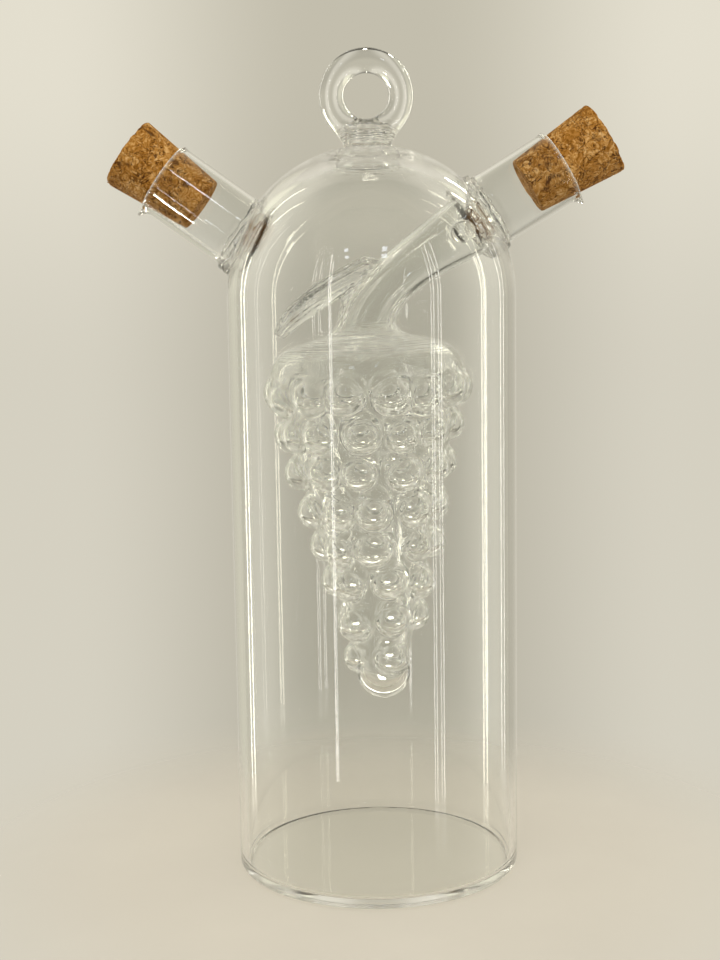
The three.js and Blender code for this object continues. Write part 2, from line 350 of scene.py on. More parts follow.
floor_material, start = new_material("pale_floor")
place = start.node("ShaderNodeTexCoord", output="Object")
mottle = start.noise(place, mottle_scale, 4.0)
colour = start.mix(mottle.ease(*mottle_range), floor_shade, floor_colour)
surface = start.node("ShaderNodeBsdfPrincipled", {"Base Color": colour, "Roughness": floor_roughness})
distance = start.vector("LENGTH", place).beside("Value")
clear = start.node("ShaderNodeBsdfTransparent")
show(start, start.node("ShaderNodeMixShader", {0: distance.ease(*floor_fade), 1: surface, 2: clear}))
floor_mesh.materials.append(floor_material)
floor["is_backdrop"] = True
print("floor disc of", floor_radius, "m")

# %% [markdown]
# Lamps are set out by the direction in which they stand: 0 degrees is straight behind the cruet as the
# camera sees it, positive to the right. A lamp is described by how bright its face is, because that is
# what a line on the glass shows. Its power follows from its size. Narrow lamps can be bright and still
# add little light to the corks.
#
# An upright wall can't send light up or down, so it never shows a lamp that stands far below the cruet.
# The grapes and the welds do, and small low lamps make them sparkle without drawing on the wall or the
# dome. One high lamp draws a stroke on the dome beside the right spout. These only show in glass and
# light nothing.

# %% Lamps
lamp_distance = 0.9


def lamp(name, azimuth, elevation, width, height, radiance, colour, target=0.1):
    data = bpy.data.lights.new(name, "AREA")
    data.shape = "RECTANGLE"
    data.size, data.size_y = width, height
    data.energy = radiance * math.pi * width * height
    data.color = colour
    thing = bpy.data.objects.new(name, data)
    turn, tilt = math.radians(azimuth), math.radians(elevation)
    out = Vector((math.sin(turn) * math.cos(tilt), math.cos(turn) * math.cos(tilt), math.sin(tilt)))
    thing.location = out * lamp_distance + Vector((0.0, 0.0, target))
    thing.rotation_euler = out.to_track_quat("Z", "Y").to_euler()
    thing.visible_camera = False
    bpy.context.scene.collection.objects.link(thing)
    return thing


def sparkle(*how):
    """A lamp that shows in glass but lights neither the corks nor the floor."""
    lamp(*how).visible_diffuse = False


warm = (1.0, 0.96, 0.80)
white = (1.0, 0.98, 0.93)
cool = (0.80, 0.87, 1.0)
low_tilt = -31

# Name, azimuth, elevation, width, height, radiance and colour.
lamp("strip_behind_left", -58, 0, 0.026, 2.5, 9.0, warm)
lamp("strip_behind_right", 82, 0, 0.028, 1.3, 9.0, warm, target=-0.14)
lamp("strip_far_right", 55, 0, 0.012, 1.3, 6.0, white)
lamp("strip_right", 126, 0, 0.012, 1.3, 11.0, white)
lamp("strip_right_second", 132, 0, 0.012, 1.3, 11.0, white)
lamp("strip_front_left", -148, 5, 0.016, 0.9, 12.0, white)
lamp("window_right", 168, 36, 0.06, 0.05, 11.0, cool)
lamp("window_left", -159, 35, 0.05, 0.04, 11.0, cool)
sparkle("high_right", 35, 32, 0.03, 0.30, 30.0, warm)
for azimuth in (-125, -80, -35, 80, 125):
    sparkle(f"low_{azimuth}", azimuth, low_tilt, 0.06, 0.12, 130.0, warm)
sparkle("low_behind", 0, low_tilt, 0.06, 0.08, 60.0, warm)
soft_top = lamp("soft_top", 180, 50, 0.8, 0.8, 2.2, white)
soft_top.visible_glossy = False
soft_top.visible_transmission = False
print("lamps:", len(bpy.data.lights))

# %% [markdown]
# ## Clear glass
#
# Borosilicate glass bends light by an index of about 1.47 and has hardly any colour. A drawn and
# blown wall isn't perfect, though: faint cords run along it and the surface carries a slight bloom.
# The cords are a weak bump that is stretched along Z, and the bloom is a small change of roughness.
# Where the flame has worked the glass it is crinkled. The meshes below carry that as two attributes:
# how much the glass was worked, and coordinates that follow the crinkles. A third attribute marks the
# rims of the spouts. Light that runs along the wall of a tube leaves it there, so a rim shines, and a
# little matt white stands in for that as a painted highlight.
#
# Rays that look for a lamp can't bend, so without help a cork inside the glass would be dark. A Mix
# Shader lets those rays, and the ones that a matt surface scatters, straight through a Transparent
# shader instead.

# %% Glass material
glass_index = 1.47
glass_tint = (0.985, 0.99, 0.982, 1.0)
glass_shadow = (0.94, 0.94, 0.93, 1.0)
crinkle_height = 0.35 * mm
cord_share = 0.0086
cord_scale = 160.0
cord_stretch = (1.0, 1.0, 0.12)
bloom_scale = 45.0
bloom_range = (0.55, 0.8)
bloom_roughness = 0.02
# The painted highlight on the spout rims: its colour and how much of it is mixed into the glass.
rim_highlight_white = (0.95, 0.94, 0.86, 1.0)
rim_highlight_share = 0.4
most_bounces = 64


def clear_glass():
    material, start = new_material("clear_glass")
    place = start.node("ShaderNodeTexCoord", output="Object")
    drawn = start.node("ShaderNodeMapping", {"Vector": place, "Scale": cord_stretch})
    cords = start.noise(drawn, cord_scale, 1.0)
    bloom = start.noise(place, bloom_scale, 3.0)
    worked = start.node("ShaderNodeAttribute", None, {"attribute_name": "worked"}, "Fac")
    flow = start.node("ShaderNodeAttribute", None, {"attribute_name": "flow"}, "Vector")
    crinkle = start.noise(flow, 1.0, 2.0)
    bump = {"Height": cords * cord_share + crinkle * worked, "Strength": 1.0, "Distance": crinkle_height}
    glass = start.node("ShaderNodeBsdfPrincipled", {
        "Base Color": glass_tint,
        "Roughness": bloom.ease(*bloom_range) * bloom_roughness,
        "IOR": glass_index,
        "Transmission Weight": 1.0,
        "Normal": start.node("ShaderNodeBump", bump),
    })
    # Painted highlight: matt white mixed in on the spout rims stands in for the light that leaves them.
    rim = start.node("ShaderNodeAttribute", None, {"attribute_name": "rim"}, "Fac")
    matt = start.node("ShaderNodeBsdfDiffuse", {"Color": rim_highlight_white})
    glass = start.node("ShaderNodeMixShader", {0: rim * rim_highlight_share, 1: glass, 2: matt})
    straight = start.node("ShaderNodeBsdfTransparent", {"Color": glass_shadow})
    to_lamp = start.node("ShaderNodeLightPath", output="Is Shadow Ray")
    unbent = start.math("MAXIMUM", to_lamp, to_lamp.beside("Is Diffuse Ray"))
    show(start, start.node("ShaderNodeMixShader", {0: unbent, 1: glass, 2: straight}))
    return material


glass = clear_glass()
cycles = bpy.context.scene.cycles
for kind in ("max_bounces", "transmission_bounces", "transparent_max_bounces", "glossy_bounces"):
    setattr(cycles, kind, most_bounces)
cycles.caustics_reflective = False
cycles.caustics_refractive = False
print("glass nodes:", len(glass.node_tree.nodes))

# %% [markdown]
# ## Shapes that melt together
#
# A lampworker fuses soft glass, so no two parts of the cruet meet in a sharp line. Joining meshes with
# booleans gives sharp lines and then needs bevels that often fail. A distance field does better: a
# function that says how far a point is from the surface, negative inside. Two fields are joined by a
# smallest value with a rounded corner, and cut by a largest value.
#
# These helpers work on whole numpy arrays, so a field can be asked about a grid or a list of points.

# %% Joining and cutting fields
def fillet(first, second, radius):
    """Both shapes, with a round weld of this radius in the corner between them."""
    corner = np.hypot(np.maximum(radius - first, 0), np.maximum(radius - second, 0))
    return np.maximum(radius, np.minimum(first, second)) - corner


def rounded_cut(first, second, radius):
    """What both shapes share, with the edge between them rounded off."""
    edge = np.hypot(np.maximum(radius + first, 0), np.maximum(radius + second, 0))
    return np.minimum(-radius, np.maximum(first, second)) + edge


def melt(first, second, reach):
    """Both shapes, flowing into each other over a short reach."""
    near = np.maximum(reach - np.abs(first - second), 0) / reach
    return np.minimum(first, second) - near**3 * reach / 6


def bell(value, width):
    return np.exp(-((value / width) ** 2))


def wavy(turn, *waves):
    """Unevenness round a turn or along a share: waves of (height, count, phase), added up."""
    return sum(height * np.sin(count * turn + phase) for height, count, phase in waves)


# %% [markdown]
# A field becomes a mesh in three steps. OpenVDB finds the faces between the inside and the outside on
# a grid, whose lines may lie further apart where the shape is straight. Then every vertex slides along
# the field's slope until it lies on the surface, with a little smoothing in between. Last, the same
# slope gives each vertex its normal, which keeps highlights on the glass clean, and the vertices get
# the attributes that the glass material reads.

# %% From a field to a mesh
corners = np.array([(1, -1, -1), (-1, -1, 1), (-1, 1, -1), (1, 1, 1)], float)
probe = 0.02 * mm
smoothing_rounds = 2


def sense(field, points):
    """The field's value and slope at each point, from four probes round it."""
    value = np.zeros(len(points))
    slope = np.zeros_like(points)
    for corner in corners:
        probed = field(*(points + corner * probe).T)
        value += probed / 4
        slope += probed[:, None] * corner / (4 * probe)
    return value, slope


def settle(field, points, most):
    value, slope = sense(field, points)
    step = value / np.maximum((slope**2).sum(axis=1), 1e-6)
    return points - slope * np.clip(step, -most, most)[:, None]


def relaxed(points, quads):
    total = np.zeros_like(points)
    count = np.zeros(len(points))
    for side in range(4):
        here, there = quads[:, side], quads[:, (side + 1) % 4]
        np.add.at(total, here, points[there])
        np.add.at(count, here, 1)
    return 0.5 * points + 0.5 * total / count[:, None]


def blown(name, field, lines, working, trimmed):
    """A mesh object of the field's surface, on a grid with these lines along X, Y and Z."""
    sampled = field(lines[0][:, None, None], lines[1][None, :, None], lines[2][None, None, :])
    grid = openvdb.FloatGrid(1.0)
    grid.copyFromArray(np.ascontiguousarray(sampled / mm, dtype=np.float32))
    places, quads = grid.convertToQuads(0.0)
    points = np.column_stack([
        np.interp(places[:, i], np.arange(len(lines[i])), lines[i]) for i in range(3)
    ])
    quads = quads.astype(np.int64)
    most = 0.5 * np.diff(lines[0]).min()
    for _ in range(smoothing_rounds):
        points = settle(field, relaxed(points, quads), most)
    points = settle(field, settle(field, points, most), most)
    points, quads = trimmed(field, points, quads)
    normals = sense(field, points)[1]
    normals /= np.linalg.norm(normals, axis=1)[:, None]
    across = np.cross(points[quads[:, 2]] - points[quads[:, 0]], points[quads[:, 3]] - points[quads[:, 1]])
    if (across * normals[quads[:, 0]]).sum() < 0:
        quads = quads[:, ::-1]
    mesh = bpy.data.meshes.new(name)
    mesh.from_pydata(points.tolist(), [], quads.tolist())
    mesh.polygons.foreach_set("use_smooth", np.ones(len(quads), dtype=bool))
    mesh.normals_split_custom_set_from_vertices(normals.tolist())
    worked, flow, rim = working(*points.T)
    mesh.attributes.new("worked", "FLOAT", "POINT").data.foreach_set("value", worked)
    mesh.attributes.new("flow", "FLOAT_VECTOR", "POINT").data.foreach_set("vector", flow.T.ravel())
    mesh.attributes.new("rim", "FLOAT", "POINT").data.foreach_set("value", rim)
    made = bpy.data.objects.new(name, mesh)
    bpy.context.scene.collection.objects.link(made)
    print(name, len(points), "vertices,", 2 * len(quads), "triangles")
    return made


def spaced(*stops):
    """Grid lines through stops of (place, spacing), each spacing kept until the next stop."""
    lines = [stops[0][0]]
    for (place, spacing), (end, _) in zip(stops, stops[1:]):
        count = max(1, round((end - place) / spacing))
        lines.extend(place + (end - place) * (i + 1) / count for i in range(count))
    return np.array(lines)


# %% [markdown]
# ## The bottle
#
# The outer bottle is a piece of glass tube with a flat bottom, closed by a dome. Its outside and its
# hollow are two filled shapes of the same kind, one inside the other, and the glass is what lies
# between them. The dome is an ellipse, whose distance has a good short formula.

# %% Bottle and dome
body_wall = 2.0 * mm
apex_wall = 3.5 * mm
heel_radius = 1.5 * mm
inside_heel = 1.6 * mm


def domed(x, y, z, radius, rise, bottom, heel):
    across = np.hypot(x, y)
    climb = np.maximum(z - dome_start, 0)
    scaled = np.hypot(across / radius, climb / rise)
    steepness = np.hypot(across / radius**2, climb / rise**2)
    side = scaled * (scaled - 1) / np.maximum(steepness, 1e-9)
    return rounded_cut(side, bottom - z, heel)


def bottle_outside(x, y, z):
    return domed(x, y, z, body_radius, dome_rise, 0.0, heel_radius)


def bottle_hollow(x, y, z):
    hollow_rise = dome_rise - apex_wall
    return domed(x, y, z, body_radius - body_wall, hollow_rise, base_thickness, inside_heel)


# %% [markdown]
# ## Spouts
#
# A spout is a length of tube that is fused to the dome. Its mouth has a melted rim, drawn out on its
# lower side to a small beak that stops drips. Where the tube goes through the dome, the flame leaves a
# collar of half melted rings, which reaches a few millimetres into the bottle, and faint ripples round
# it that are uneven round the tube. The collar of the vinegar spout is the longer one.
#
# Crinkles have to differ on the two faces of a wall, or a ray would leave it as it came. So their
# coordinates also drift with the distance through the glass.

# %% Spout tubes
tube_radius = 8.9 * mm
tube_bore = 8.0 * mm
tube_inside = 6 * mm
bore_fillet = 0.5 * mm
lip_bead = 0.55 * mm
lip_melt = 0.5 * mm
rim_mark = 0.35 * mm
beak_reach = 2.1 * mm
beak_length = 3.0 * mm
beak_angle = math.radians(11)
weld_fillet = 1.0 * mm
weld_edge = 0.25 * mm
weld_steepest = 40
weld_reach = 3.4 * mm
weld_width = 2.4 * mm
ripple_depth = 0.12 * mm
ripple_pitch = 1.9 * mm
ripple_reach = 2.6 * mm
ripple_place = 2.6 * mm
ripple_out = 0.6 * mm
ripple_width = 1.8 * mm
ripple_wander = (0.9, 2, 0.0), (0.5, 5, 0.0)
ripple_swell = (0.5, 3, 0.8), (0.4, 8, 2.0)
oil_threads = 2
vinegar_threads = 4
thread_first = 0.7 * mm
thread_pitch = 1.4 * mm
thread_radius = 0.8 * mm
thread_distance = 9.3 * mm
thread_wander = 0.15 * mm
thread_swell = 0.2
thread_phase = 1.7
thread_melt = 0.3 * mm
crinkle_pitch = 0.7 * mm
crinkle_drift = 0.5 * mm
crinkle_round = 1.5


def beak_pull(spout, along, turn):
    drawn = np.clip((along - spout.length + beak_length) / beak_length, 0, 1)
    return beak_reach * drawn**2 * bell(turn, beak_angle)


def with_lip(filled, spout, along, distance):
    bead = np.hypot(distance - tube_bore - lip_bead, along - spout.length + lip_bead) - lip_bead
    return melt(np.maximum(filled, along - spout.length + lip_bead), bead, lip_melt)


def flame_ripple(along, distance, turn):
    rings = np.sin(2 * math.pi * along / ripple_pitch + wavy(turn, *ripple_wander))
    near = bell(along + ripple_place, ripple_reach)
    near = near * bell(distance - tube_radius - ripple_out, ripple_width)
    return ripple_depth * rings * (1 + wavy(turn, *ripple_swell)) * near


def weld_threads(count, along, distance, turn):
    """Rings of glass round the seal, half melted into each other."""
    threads = 1.0
    for i in range(count):
        middle = thread_first + i * thread_pitch + wavy(turn, (thread_wander, 2 + i, thread_phase * i))
        thick = thread_radius * (1 + wavy(turn, (thread_swell, 3 + i, i)))
        thread = np.hypot(along + middle, distance - thread_distance) - thick
        threads = melt(threads, thread, thread_melt)
    return threads


def crinkles(along, through, turn, count):
    """Coordinates for crinkles that run round an axis."""
    place = along / crinkle_pitch + through / crinkle_drift
    return np.array([place, count * np.cos(turn), count * np.sin(turn)])


def round_weld(spout, x, y, z):
    """How much the glass round a spout's weld was worked, and coordinates along its crinkles."""
    along, distance, turn = spout.coordinates(x, y, z)
    inside = 1 / (1 + np.exp(np.clip(along / weld_edge, -weld_steepest, weld_steepest)))
    amount = inside * bell(along + ripple_place, weld_reach) * bell(distance - tube_radius, weld_width)
    return amount, crinkles(along, distance, turn, crinkle_round)


def at_rim(spout, x, y, z):
    """1 on the very end of a spout's melted rim, and fading down from it."""
    along, distance, turn = spout.coordinates(x, y, z)
    distance = distance - beak_pull(spout, along, turn)
    on_lip = np.abs(distance - tube_bore - lip_bead) < 2 * lip_bead
    return on_lip * bell(along - spout.length, rim_mark)


def oil_bore(x, y, z):
    return oil.coordinates(x, y, z)[1] - tube_bore


def add_oil_spout(outside, hollow, x, y, z):
    along, distance, turn = oil.coordinates(x, y, z)
    pulled = distance - beak_pull(oil, along, turn)
    inner_end = -tube_inside - along
    tube = np.maximum(with_lip(pulled - tube_radius, oil, along, pulled), inner_end)
    outside = fillet(outside, tube, weld_fillet) + flame_ripple(along, distance, turn)
    bore = np.maximum(pulled - tube_bore, inner_end)
    return outside, fillet(hollow, bore, bore_fillet)


# %% [markdown]
# ## Ring handle
#
# A bent rod of solid glass stands on the dome as a ring, on a short foot. Where the dome was closed
# in the flame, low rings run round the foot.

# %% Ring, foot and the ripples round it
ring_low, ring_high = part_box("ring_handle")
ring_rod = (ring_high.y - ring_low.y) / 2
ring_radius = (ring_high.z - ring_low.z) / 2 - ring_rod
ring_x = (ring_low.x + ring_high.x) / 2
ring_z = (ring_low.z + ring_high.z) / 2
foot_radius = 5.7 * mm
foot_top = ring_z - ring_radius
foot_swell = (0.03, 3, 1.0), (0.025, 8, 0.0)
foot_fillet = 0.35 * mm
ring_fillet = 2.4 * mm
groove_depth = 0.35 * mm
groove_height = 0.3 * mm
groove_width = 0.6 * mm
apex = dome_start + dome_rise
apex_ripple = 0.05 * mm
apex_pitch = 2.6 * mm
apex_wander = (1.1, 2, 0.0), (0.6, 5, 0.0)
apex_band = 9 * mm
apex_band_width = 3.2 * mm
apex_band_height = 6 * mm
stronger_side = 0.6
stronger_towards = 0.4
foot_unevenness = 2.0
foot_crinkles = 8 * mm
foot_crinkle_reach = 3.5 * mm


def round_ring(x, y):
    """Distance from the upright line through the ring, and the turn round it."""
    return np.hypot(x - ring_x, y), np.arctan2(y, x - ring_x)


def add_ring(outside, x, y, z):
    distance, turn = round_ring(x, y)
    rings = np.sin(2 * math.pi * distance / apex_pitch + wavy(turn, *apex_wander))
    band = bell(distance - apex_band, apex_band_width) * bell(z - apex, apex_band_height)
    band = band * (1 + stronger_side * np.cos(turn - stronger_towards))
    outside = outside + apex_ripple * rings * band
    girth = foot_radius * (1 + wavy(turn, *foot_swell))
    girth = girth - groove_depth * bell(z - apex - groove_height, groove_width)
    foot = np.maximum(distance - girth, np.abs(z - apex) - (foot_top - apex))
    ring = np.hypot(np.hypot(x - ring_x, z - ring_z) - ring_radius, y) - ring_rod
    return fillet(outside, fillet(foot, ring, ring_fillet), foot_fillet)


def round_foot(x, y, z):
    """How much the glass round the foot was worked, and coordinates along its crinkles."""
    distance, turn = round_ring(x, y)
    near = bell(distance - foot_crinkles, foot_crinkle_reach) * bell(z - apex, foot_crinkle_reach)
    return foot_unevenness * near, crinkles(distance, z, turn, crinkle_round)


# %% [markdown]
# ## The neck of the grapes
#
# The vinegar spout runs on through the dome as a curved neck down to the grapes. Its middle line lies
# in one plane, so the nearest point on the line depends only on X and Z, and one search serves a
# whole column of the grid. The neck narrows in the middle and flares at both ends, and its lower part
# has fine cords from being pulled. A ragged seam of glass, left by the vine stub that is fused to it,
# runs down its outer side.

# %% Swept tubes
sweep_stride = 12


class Sweep:
    """Round sections along a line in the XZ plane, swollen by a function of turn and place."""

    def __init__(self, line, radii, swell):
        self.line = np.asarray(line)
        self.radii = np.asarray(radii)
        self.swell = swell

    def closest_point(self, points, choices):
        """Which of the line's points each row of choices has nearest to its point."""
        gap = self.line[choices] - points[:, None, :]
        best = (gap**2).sum(axis=2).argmin(axis=1)
        return choices[np.arange(len(points)), best] if choices.ndim == 2 else choices[best]

    def nearest(self, x, z):
        """Distance in the plane, its side, and the place along the line as a share."""
        flat_x, flat_z = np.broadcast_arrays(x, z)
        points = np.column_stack([flat_x.ravel(), flat_z.ravel()])
        last = len(self.line) - 1
        coarse = self.closest_point(points, np.arange(0, last + 1, sweep_stride))
        nearby = coarse[:, None] + np.arange(-sweep_stride, sweep_stride + 1)
        index = self.closest_point(points, np.clip(nearby, 0, last))
        before = np.clip(index - 1, 0, last - 1)
        after = np.clip(index, 0, last - 1)
        options = [self.on_segment(points, segment) for segment in (before, after)]
        closer = options[0][0] <= options[1][0]
        return [np.where(closer, a, b).reshape(flat_x.shape) for a, b in zip(*options)]

    def on_segment(self, points, segment):
        start, along = self.line[segment], self.line[segment + 1] - self.line[segment]
        offset = points - start
        share = np.clip((offset * along).sum(axis=1) / (along**2).sum(axis=1), 0, 1)
        gap = offset - along * share[:, None]
        side = np.sign(along[:, 0] * offset[:, 1] - along[:, 1] * offset[:, 0])
        return np.hypot(*gap.T), side, (segment + share) / (len(self.line) - 1)

    def around(self, x, y, z):
        """Distance from the line, turn round it from its right-hand side, and place along it."""
        off, side, place = self.nearest(x, z)
        return np.hypot(off, y), np.arctan2(y, off * side), place

    def field(self, x, y, z):
        off, turn, place = self.around(x, y, z)
        radius = np.interp(place, np.linspace(0, 1, len(self.radii)), self.radii)
        return off - radius - self.swell(turn, place)


def bezier(points, count):
    t = np.linspace(0, 1, count)[:, None]
    points = [np.asarray(p) for p in points]
    while len(points) > 1:
        points = [a * (1 - t) + b * t for a, b in zip(points, points[1:])]
    return points[0]


# %% Neck, from the mouth of the spout to the grapes
neck_wall = 1.2 * mm
neck_waist = 6.1 * mm
neck_bottom = 7.7 * mm
neck_pull_top = 20 * mm
neck_pull_bottom = 12 * mm
neck_steps = 320
tube_steps = 120
past_mouth = 4 * mm
bunch_mouth = np.array([-1.6, 130.8]) * mm
bunch_lean = math.radians(2.4)
bunch_down = np.array([math.sin(bunch_lean), -math.cos(bunch_lean)])

spout_out = vinegar.axis[[0, 2]]
spout_root = vinegar.root[[0, 2]]
neck_line = bezier([
    spout_root,
    spout_root - spout_out * neck_pull_top,
    bunch_mouth - bunch_down * neck_pull_bottom,
    bunch_mouth,
], neck_steps)
neck_share = np.linspace(0, 1, neck_steps)
neck_ends = np.where(neck_share < 0.5, tube_radius, neck_bottom)
neck_radii = neck_waist + (neck_ends - neck_waist) * (2 * neck_share - 1) ** 2
tube_start = spout_root + spout_out * (vinegar.length + past_mouth)
tube_line = np.linspace(tube_start, spout_root, tube_steps)[:-1]
seam_height = 0.9 * mm
seam_angle = math.radians(9)
seam_from, seam_to = 0.66, 0.93
seam_rags = (0.45, 37, 0.0), (0.35, 83, 1.0)
neck_cords = 15
cord_height = 0.07 * mm
cord_twist = 6
cord_swell = (0.6, 3, 1.0)
cords_from, cords_to = 0.55, 0.85


def neck_relief(turn, place):
    pulled = np.clip((place - cords_from) / (cords_to - cords_from), 0, 1)
    cords = np.cos(neck_cords * turn + cord_twist * place) * (1 + wavy(turn, cord_swell))
    share = np.clip((place - seam_from) / (seam_to - seam_from), 0, 1)
    ragged = (1 + wavy(share, *seam_rags)) * np.sin(math.pi * share)
    seam = seam_height * ragged * bell(math.pi - np.abs(turn), seam_angle)
    return seam + cord_height * pulled * cords


vessel_tube = Sweep(
    np.vstack([tube_line, neck_line]),
    np.concatenate([np.full(len(tube_line), tube_radius), neck_radii]),
    neck_relief,
)
print("neck line of", len(vessel_tube.line), "points")

# %% [markdown]
# ## The bunch of grapes
#
# The bunch is a cone of thin glass with a bubble blown for every berry, hollow right through, so
# vinegar fills the berries too. Rows of berries shrink towards the tip and every other row is turned by
# half a berry. Nothing blown is exact, so each berry is shifted and sized a little by a fixed seed.
# Adding up a steep exponential for every berry makes the glass run smoothly from one to the next.
#
# Soft glass sags. A berry grows gently out of the cone at its top and hangs over a crease at its
# bottom, where its glass is also thicker. So the reach of the melting and the glass of a berry depend
# on how low on the berry a point lies.

# %% Rows of berries
bunch_rows = 8
first_row_depth = 12.4 * mm
row_pitch = 9.36 * mm
first_row_radius = 26.0 * mm
row_shrink = 2.257 * mm
berry_radius = 4.3 * mm
first_row_swell = 1.15
berry_stands_out = 3.6 * mm
berry_spacing = 9.3 * mm
berry_glass = 0.75 * mm
berry_sag = 2.2 * mm
berry_flow = 0.22 * mm
berry_melt = 1.7 * mm
berry_crease = 1.0 * mm
bunch_wall = 1.2 * mm
bunch_top = 2.6 * mm
bunch_corner = 6.0 * mm
bunch_top_rise = 4.5 * mm
core_radius = first_row_radius - berry_stands_out
tip_radius = 6.6 * mm
tip_depth = 89.3 * mm
tip_sag = 0.8
tip_melt = 1.5 * mm
berry_seed = 11
turn_slip = 0.10
depth_slip = 0.7
size_range = (0.93, 1.05)
out_range = (-0.4, 0.3)

chance = np.random.default_rng(berry_seed)
berries = []
for row in range(bunch_rows):
    swollen = berry_radius * (first_row_swell if row == 0 else 1.0)
    reach = first_row_radius - row * row_shrink - swollen
    count = int(2 * math.pi * reach / berry_spacing)
    for i in range(count):
        turn = 2 * math.pi * (i + row % 2 / 2 + chance.uniform(-turn_slip, turn_slip)) / count
        depth = first_row_depth + row * row_pitch + chance.uniform(-depth_slip, depth_slip) * mm
        size = swollen * chance.uniform(*size_range)
        out = reach + chance.uniform(*out_range) * mm
        berries.append((out * math.cos(turn), out * math.sin(turn), depth, size))
print(len(berries), "berries")


def bunch_cone(distance, depth, thinner):
    slope = row_shrink / row_pitch
    core = core_radius - (depth - first_row_depth) * slope
    cone = (distance - core) * math.cos(math.atan(slope)) + thinner
    crown = bunch_top_rise * np.maximum(1 - (distance / core_radius) ** 2, 0)
    cone = rounded_cut(cone, bunch_top - crown - depth + thinner, bunch_corner - thinner)
    tip_middle = tip_depth - tip_radius - thinner * tip_sag
    tip = np.hypot(distance, depth - tip_middle) - tip_radius + thinner
    return melt(np.maximum(cone, depth - tip_middle), tip, tip_melt)


def in_bunch(x, z):
    """Place across the bunch and down its axis."""
    x, z = x - bunch_mouth[0], z - bunch_mouth[1]
    return x * -bunch_down[1] + z * bunch_down[0], x * bunch_down[0] + z * bunch_down[1]


def bunch_fields(x, y, z):
    """The bunch's outside and its hollow."""
    across, depth = in_bunch(x, z)
    distance = np.hypot(across, y)
    total = 1e-30
    lowness = 0.0
    for there, beside, down, size in berries:
        gap = np.sqrt((across - there) ** 2 + (y - beside) ** 2 + (depth - down) ** 2)
        weight = np.exp((size - gap) / berry_flow)
        total = total + weight
        lowness = lowness + weight * (depth - down) / size
    bubbles = -berry_flow * np.log(total)
    low = np.clip(lowness / total, -1, 1)
    reach = berry_melt - berry_crease * low
    outside = melt(bunch_cone(distance, depth, 0.0), bubbles, reach)
    glass_here = berry_glass + berry_sag * np.maximum(low, 0) ** 2
    return outside, melt(bunch_cone(distance, depth, bunch_wall), bubbles + glass_here, reach)


# %% [markdown]
# ## The vine stub
#
# A short solid rod of glass springs from the bend of the neck like a cut vine. It is drawn thinner
# towards its end, which is nipped off flat, and low ridges run along it.

# %% Vine stub
stub_root = np.array([-1.0, 148.2]) * mm
stub_bend = np.array([-19.5, 138.6]) * mm
stub_tip = np.array([-22.6, 131.8]) * mm
stub_radii = (2.7 * mm, 2.9 * mm, 2.4 * mm, 1.4 * mm)
stub_ridges = 6
stub_ridge = 0.36 * mm
stub_twist = 3
stub_nip = 0.3 * mm
stub_steps = 160


def vine_ridges(turn, place):
    return stub_ridge * np.cos(stub_ridges * turn + stub_twist * place)


stub_sweep = Sweep(bezier([stub_root, stub_bend, stub_tip], stub_steps), stub_radii, vine_ridges)
stub_end = stub_tip - stub_bend
stub_end = stub_end / np.linalg.norm(stub_end)


def vine_stub(x, y, z):
    past_tip = (x - stub_tip[0]) * stub_end[0] + (z - stub_tip[1]) * stub_end[1]
    return rounded_cut(stub_sweep.field(x, y, z), past_tip, stub_nip)


# %% [markdown]
# ## Two pieces of glass
#
# On the real cruet all of this is one piece: the maker seals the neck of the grapes through the dome
# and fuses everything round it. Here it is parted once, across the neck inside the dome, so that each
# piece has a grid that suits it. Any gap in clear glass shows as a line, so the two fields overlap by a
# few millimetres, and each mesh is trimmed at the same plane, with its edge drawn exactly onto it.

# %% The fields of both pieces
parting = 12.5 * mm
overlap = 3.5 * mm
knot_depth = 9.0 * mm
knot_turn = math.radians(-85)
knot_radius = 2.6 * mm
knot_fillet = 0.8 * mm
mouth_fillet = 3.5 * mm
mouth_hollow_fillet = 4.5 * mm
stub_fillet = 1.0 * mm
thinner_from, thinner_to = -4 * mm, 2 * mm
on_glass = 0.3 * mm
edge_rounds = 3


def vinegar_tube(x, y, z):
    """The outside and the bore of the vinegar spout with its neck, and coordinates along the spout."""
    along, distance, turn = vinegar.coordinates(x, y, z)
    pull = np.where(along > 0, beak_pull(vinegar, along, turn), 0.0)
    tube = vessel_tube.field(x, y, z) - pull
    share = np.clip((along - thinner_from) / (thinner_to - thinner_from), 0, 1)
    bore = tube + neck_wall - share * (neck_wall - tube_radius + tube_bore)
    return with_lip(tube, vinegar, along, distance - pull), bore, (along, distance, turn)


def knot(along, distance, turn):
    """A drop of gathered glass on the neck, where it comes through the dome."""
    below = distance * np.cos(turn) - tube_radius * math.cos(knot_turn)
    beside = distance * np.sin(turn) - tube_radius * math.sin(knot_turn)
    return np.sqrt((along + knot_depth) ** 2 + below**2 + beside**2) - knot_radius


def bottle_field(x, y, z):
    outside, hollow = bottle_outside(x, y, z), bottle_hollow(x, y, z)
    outside, hollow = add_oil_spout(outside, hollow, x, y, z)
    outside = add_ring(outside, x, y, z)
    shell = np.maximum(outside, -hollow)
    oil_collar = np.maximum(weld_threads(oil_threads, *oil.coordinates(x, y, z)), -oil_bore(x, y, z))
    shell = fillet(shell, oil_collar, thread_melt)
    tube, bore, (along, distance, turn) = vinegar_tube(x, y, z)
    spout = np.maximum(tube, -along - parting - overlap)
    shell = fillet(shell, spout, weld_fillet) + flame_ripple(along, distance, turn)
    shell = fillet(shell, weld_threads(vinegar_threads, along, distance, turn), thread_melt)
    shell = fillet(shell, knot(along, distance, turn), knot_fillet)
    return np.maximum(shell, -bore)


